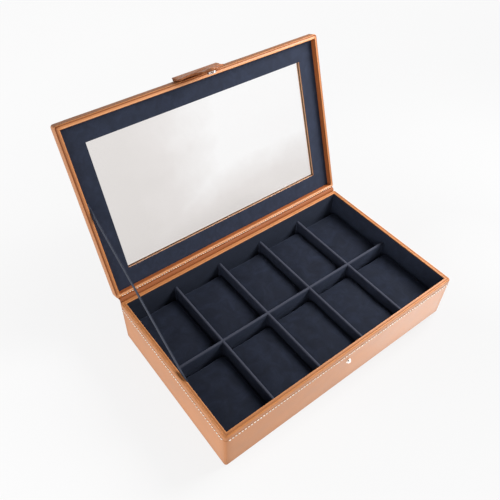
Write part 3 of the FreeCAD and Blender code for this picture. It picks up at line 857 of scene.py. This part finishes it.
def dividers():
    """Suede-wrapped dividers with softly rounded tops."""
    for name in sorted(n for n in frame["nodes"] if "divider" in n):
        low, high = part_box(name)
        size = [(b - a) / MM for a, b in zip(low, high)]
        middle = [(b + a) / 2 / MM for a, b in zip(low, high)]
        along = 0 if size[0] > size[1] else 1
        half = size[1 - along] / 2
        soft = 1.1 * half
        crest = high[2] / MM
        outline = [(-half, low[2] / MM), (-half, crest - soft - 8.0)]
        outline += [(-half * math.cos(a), crest - soft + soft * math.sin(a))
                    for a in (math.pi * i / 12 for i in range(13))]
        outline += [(half, crest - soft - 8.0), (half, low[2] / MM)]
        stations = 60
        points = []
        for s in range(stations + 1):
            run = middle[along] + size[along] * (s / stations - 0.5)
            for w, z in outline:
                swell = 1.0 - 0.04 * (1.0 + noise.noise(Vector((run * 0.08, z * 0.1, half))))
                x, y = (run, middle[1] + w * swell) if along == 0 else (middle[0] + w * swell, run)
                points.append((x, y, z))
        obj = add_mesh("suede_" + name, points, capped_faces(stations + 1, len(outline)))
        dress(obj, "divider_suede")
        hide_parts(name)
        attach(obj, "base")


def cushion_grid(half_x, half_y, low, high, bulge):
    """A closed pad, pressed between its dividers, rolled at front and back, with a low crown."""
    levels = [(0.00, 9.0), (0.00, 4.0), (0.03, 2.2), (0.10, 1.0), (0.22, 0.5), (0.42, 0.3),
              (0.62, 0.4), (0.76, 0.8), (0.86, 1.5), (0.93, 2.6), (0.975, 4.6), (1.0, 8.0)]
    side_steps = 12
    corner_steps = 6
    points = []
    rings = []
    tall = high - low - 0.4
    for share, inset in levels:
        corner = max(6.0 - 0.3 * inset, 2.0)
        press = bulge * min(1.0, share / 0.3)
        wide = half_x - 0.32 * inset + press
        deep = half_y - inset - 1.2 * share
        row = []
        for quarter in range(4):
            along, out = (wide, deep) if quarter % 2 == 0 else (deep, wide)
            turn = math.radians(90 * quarter)
            outline = []
            for i in range(side_steps):
                s = -1.0 + 2.0 * i / side_steps
                pull = (0.028 if quarter % 2 == 0 else 0.008) * (along - corner) * (1 - s * s)
                outline.append((s * (along - corner), pull - out))
            for i in range(corner_steps):
                a = math.radians(90.0 * i / corner_steps)
                outline.append((along - corner + corner * math.sin(a), corner - out - corner * math.cos(a)))
            for x, y in outline:
                row.append(len(points))
                points.append((x * math.cos(turn) - y * math.sin(turn),
                               x * math.sin(turn) + y * math.cos(turn), low + share * tall))
        rings.append(row)
    faces = []
    for a, b in zip(rings, rings[1:]):
        for i in range(len(a)):
            j = (i + 1) % len(a)
            faces.append((a[i], a[j], b[j], b[i]))
    crown_rows = 7
    last = rings[-1]
    edge = [points[i] for i in last]
    for k in range(1, crown_rows):
        shrink = 1.0 - k / crown_rows
        row = []
        for x, y, z in edge:
            row.append(len(points))
            points.append((x * shrink, y * shrink, z + CROWN * (1.0 - shrink * shrink)))
        for i in range(len(last)):
            j = (i + 1) % len(last)
            faces.append((last[i], last[j], row[j], row[i]))
        last = row
    points.append((0.0, 0.0, low + tall + CROWN))
    centre = len(points) - 1
    for i in range(len(last)):
        faces.append((last[i], last[(i + 1) % len(last)], centre))
    faces.append(tuple(rings[0]))
    return points, faces


def cushions():
    """Ten suede cushions, each a little different; the left ones stay clear of the ribbon."""
    ribbon_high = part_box("lid_stay_ribbon")[1]
    for name in sorted(n for n in frame["nodes"] if n.startswith("watch_cushion")):
        low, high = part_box(name)
        centre_x = (low[0] + high[0]) / 2 / MM
        centre_y = (low[1] + high[1]) / 2 / MM
        half_x = (high[0] - low[0]) / 2 / MM
        half_y = (high[1] - low[1]) / 2 / MM
        seed = 7.3 * int(name[-2:])
        beside_ribbon = low[0] / MM - RIBBON_ROOM < ribbon_high[0] / MM
        bulge = SWELL_AT_RIBBON if beside_ribbon else SWELL
        points, faces = cushion_grid(half_x, half_y, low[2] / MM, high[2] / MM, bulge)
        shaped = []
        for x, y, z in points:
            top = max(0.0, (z - 22.0) / 9.0)
            z += top * min(0.3, rough(x, y, 0.0, 0.05, 0.9, seed) + rough(x, y, 0.0, 0.13, 0.3, seed))
            side = 1.0 - min(1.0, top)
            grow = 1.0 + side * rough(x, y, z, 0.05, 0.004, seed + 2.0)
            shaped.append((centre_x + x * grow, centre_y + y * grow, z))
        obj = add_mesh("cushion_" + name[-2:], shaped, faces)
        subdivide(obj)
        obj.data.shade_smooth()
        dress(obj, "cushion_suede")
        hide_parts(name)
        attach(obj, name.replace("watch_", ""))


# Closure tab

TAB_ROWS = (12.6, 12.3, 11.7, 10.6, 9.4, 8.3, 7.4, 6.6, 6.0, 5.4, 4.6, 3.6, 2.6, 1.6, 0.6, -0.4,
            -1.2, -2.0, -2.8, -3.5, -4.1, -4.5, -4.8, -5.0, -5.2, -5.45, -5.8, -6.3, -7.0, -7.9,
            -9.0, -10.2, -11.5, -12.8, -14.1, -15.4, -16.7, -18.0, -19.2, -20.4, -21.6, -22.8,
            -24.0, -25.0, -26.0, -26.8, -27.5, -28.1, -28.5, -28.8, -28.95)


def tab_half_width(v):
    """Half the tab's width at a height v over the closed lid's lower edge."""
    if v > -1.0:
        return 27.0 - 1.0 * max(0.0, (v - 11.6) / 1.0) ** 2
    if v > -5.0:
        return 22.0 + 5.0 * math.sqrt(max(0.0, 1.0 - ((-1.0 - v) / 4.0) ** 2))
    if v > -6.0:
        return 22.0 - 6.0 * (-5.0 - v)
    if v > -17.0:
        share = (-6.0 - v) / 11.0
        return 10.0 + 6.0 * (1.0 - math.sin(share * math.pi / 2.0)) ** 1.4
    if v > -19.0:
        return 10.0
    return math.sqrt(max(0.1, 100.0 - (v + 19.0) ** 2))


def tab_surface(x, v):
    """How far the tab's inner face stands off the closed lid, and its height, once raised."""
    run = max(0.0, TAB_FOLD - v)
    bend = run * run / (run + 1.5)
    off = TAB_STAND + bend * math.sin(TAB_RAISE)
    height = v if v > TAB_FOLD else TAB_FOLD - run * math.cos(TAB_RAISE)
    off += 0.9 * math.exp(-((x / 11.0) ** 2 + ((v + 4.0) / 6.0) ** 2))
    if v < 8.0:
        off -= 1.0 * max(0.0, (abs(x) - 14.0) / 12.0) ** 2 * min(1.0, (8.0 - v) / 6.0)
    crease = math.exp(-((x / 13.0) ** 2 + ((v + 5.0) / 7.0) ** 2))
    off += crease * (0.8 * noise.noise(Vector((x * 0.30, v * 0.6, 3.0)))
                     + 0.4 * noise.noise(Vector((x * 0.9, v * 1.1, 8.0))))
    return off, height


def tab_sheet(points, faces, tones, low, high, inset, rows=TAB_ROWS):
    """One layer of the tab between two distances from its inner face."""
    columns = 40
    index = {}
    for side in (0, 1):
        for r, v in enumerate(rows):
            wide = max(tab_half_width(v) - inset, 0.3)
            for c in range(columns + 1):
                x = wide * math.sin((-1.0 + 2.0 * c / columns) * math.pi / 2.0)
                edge = min(wide - abs(x), v - rows[-1], rows[0] - v)
                fall = (1.0 - min(1.0, edge / 0.7)) ** 2 * (high - low) * 0.42
                off, height = tab_surface(x, v)
                off += high - fall if side else low + fall
                index[side, r, c] = len(points)
                points.append((x, -LID_HALF_Y - off, LID_Z + height))
                # Painted shade in fold-like patches, with the tab a little darker all over and darker towards its
                # edges
                painted_fold_shade = noise.noise(Vector((x * 0.35, v * 0.5, 3.0))) + 0.6 * noise.noise(
                    Vector((x * 0.9, v * 1.1, 8.0)))
                tones.append(-0.1 - 0.5 * max(0.0, painted_fold_shade) - 0.5 * max(0.0, 1.0 - edge / 0.9))
    last = len(rows) - 1
    for r in range(last):
        for c in range(columns):
            for side in (0, 1):
                faces.append((index[side, r, c], index[side, r, c + 1],
                              index[side, r + 1, c + 1], index[side, r + 1, c]))
        for c in (0, columns):
            faces.append((index[0, r, c], index[0, r + 1, c], index[1, r + 1, c], index[1, r, c]))
    for c in range(columns):
        for r in (0, last):
            faces.append((index[0, r, c], index[0, r, c + 1], index[1, r, c + 1], index[1, r, c]))


def tab_leather():
    """The tab: two glued layers from the lid's front down to the snap, on a doubled root."""
    points = []
    faces = []
    tones = []
    tab_sheet(points, faces, tones, 0.0, 0.92, 0.15)
    tab_sheet(points, faces, tones, 0.98, TAB_THICK, 0.0)
    obj = add_mesh("tab_leather", points, faces, OPEN, tones)
    dress(obj, "tab_leather")
    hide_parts("closure_tab", "tab_root")
    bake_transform(obj)
    points = []
    faces = []
    tones = []
    root_rows = [v for v in TAB_ROWS if v > 7.0]
    tab_sheet(points, faces, tones, -TAB_STAND, -0.06, 0.4, root_rows)
    root = add_mesh("tab_root_layer", points, faces, OPEN, tones)
    dress(root, "tab_leather")
    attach(root, "lid")


def snap_on_tab():
    """The leather cap on the outside of the tab and the polished socket ring inside it."""
    profile = [(5.3, -0.3), (5.5, 0.1), (5.3, 0.45), (4.8, 0.55), (4.5, 0.45), (4.2, 0.55),
               (3.4, 0.95), (2.2, 1.22), (1.0, 1.3), (0.1, 1.3)]
    at = (0.0, -LID_HALF_Y - TAB_STAND - TAB_THICK, SNAP_Z)
    cap = turned("snap_cap_dome", profile, 40, at, RAISED)
    dress(cap, "tab_leather")
    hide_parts("snap_cap")
    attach(cap, "closure_tab")
    hollow = [(3.0, 0.2), (4.9, 0.2), (4.9, -0.3), (4.5, -0.55), (4.35, -0.9), (4.5, -1.3),
              (4.85, -1.6), (4.9, -2.0), (4.7, -2.4), (4.3, -2.6), (3.5, -2.58), (3.15, -2.35),
              (3.0, -2.0), (3.0, -0.1)]
    at = (0.0, -LID_HALF_Y - TAB_STAND, SNAP_Z)
    socket = turned("snap_socket_ring", hollow, 40, at, RAISED)
    dress(socket, "nickel")
    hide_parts("snap_socket")
    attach(socket, "closure_tab")


# Stage, light and camera

def stage():
    """A pale floor that stays near white to the camera and keeps the soft shadow.

    Sockets 2 and 3 are the two values of a number mix.
    """
    bpy.ops.mesh.primitive_plane_add(size=12.0, location=(0, 0, 0))
    floor = bpy.context.object
    floor.name = "floor"
    material = bpy.data.materials.new("pale_floor")
    material.use_nodes = True
    tree = material.node_tree
    shader = tree.nodes["Principled BSDF"]
    shader.inputs["Base Color"].default_value = (0.86, 0.86, 0.86, 1.0)
    shader.inputs["Roughness"].default_value = 0.8
    shader.inputs["Specular IOR Level"].default_value = 0.1
    glow = tree.nodes.new("ShaderNodeEmission")
    coords = tree.nodes.new("ShaderNodeTexCoord")
    level = ramp(tree, distance(tree, coords.outputs["Object"], BRIGHT_AT), FLOOR_EVEN)
    tree.links.new(maths(tree, "MULTIPLY", level, EVEN_PEAK), glow.inputs["Strength"])
    light_path = tree.nodes.new("ShaderNodeLightPath")
    around = tree.nodes.new("ShaderNodeEmission")
    off_bright = distance(tree, coords.outputs["Object"], BOUNCE_AT)
    shine = maths(tree, "MULTIPLY", ramp(tree, off_bright, FLOOR_GLOSS), GLOSS_PEAK)
    bounce = tree.nodes.new("ShaderNodeMix")
    tree.links.new(light_path.outputs["Is Glossy Ray"], bounce.inputs[0])
    tree.links.new(ramp(tree, off_bright, FLOOR_BOUNCE), bounce.inputs[2])
    tree.links.new(shine, bounce.inputs[3])
    tree.links.new(bounce.outputs[0], around.inputs["Strength"])
    even = tree.nodes.new("ShaderNodeMixShader")
    even.inputs["Fac"].default_value = GLOW_SHARE
    tree.links.new(shader.outputs["BSDF"], even.inputs[1])
    tree.links.new(glow.outputs["Emission"], even.inputs[2])
    mix = tree.nodes.new("ShaderNodeMixShader")
    tree.links.new(light_path.outputs["Is Camera Ray"], mix.inputs["Fac"])
    tree.links.new(around.outputs["Emission"], mix.inputs[1])
    tree.links.new(even.outputs["Shader"], mix.inputs[2])
    tree.links.new(mix.outputs["Shader"], tree.nodes["Material Output"].inputs["Surface"])
    floor.data.materials.append(material)
    floor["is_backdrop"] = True


def area_light(name, at, target, size, power):
    """A soft square light that looks at a point."""
    data = bpy.data.lights.new(name, "AREA")
    data.shape = "SQUARE"
    data.size = size
    data.energy = power
    obj = bpy.data.objects.new(name, data)
    obj.location = at
    direction = Vector(target) - Vector(at)
    obj.rotation_euler = direction.to_track_quat("-Z", "Y").to_euler()
    bpy.context.scene.collection.objects.link(obj)


def lights():
    """A pale room that is brightest at eye level, a soft key from the right and two fills."""
    world = bpy.data.worlds.new("studio")
    bpy.context.scene.world = world
    world.use_nodes = True
    tree = world.node_tree
    background = tree.nodes["Background"]
    coords = tree.nodes.new("ShaderNodeTexCoord")
    split = tree.nodes.new("ShaderNodeSeparateXYZ")
    tree.links.new(coords.outputs["Generated"], split.inputs["Vector"])
    tree.links.new(ramp(tree, split.outputs["Z"], SKY), background.inputs["Color"])
    background.inputs["Strength"].default_value = SKY_STRENGTH
    for lamp in LAMPS:
        area_light(*lamp)


def camera():
    """The photograph's view."""
    data = bpy.data.cameras.new("camera")
    data.sensor_fit = "HORIZONTAL"
    data.sensor_width = 36.0
    data.lens = CAMERA_LENS
    data.clip_start = 0.01
    data.clip_end = 50.0
    obj = bpy.data.objects.new("camera", data)
    axes = Matrix((CAMERA_RIGHT, -CAMERA_DOWN, -CAMERA_FORWARD)).transposed()
    obj.matrix_world = Matrix.Translation(CAMERA_AT) @ axes.to_4x4()
    bpy.context.scene.collection.objects.link(obj)
    bpy.context.scene.camera = obj


def save_sizes():
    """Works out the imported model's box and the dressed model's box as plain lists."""
    boxes = {"cad": CAD_BOX, "visual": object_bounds()}
    plain = {key: [[float(c) for c in corner] for corner in box] for key, box in boxes.items()}


def main():
    """Dresses the model, then adds the floor, the light and the camera."""
    bpy.context.scene.view_settings.view_transform = "Standard"
    dress_cad_nodes()
    base_leather()
    base_stitching()
    stud()
    lid_leather()
    lid_stitching()
    hinge_strip()
    stay_ribbon()
    dividers()
    cushions()
    tab_leather()
    snap_on_tab()
    stage()
    lights()
    camera()


main()
save_sizes()
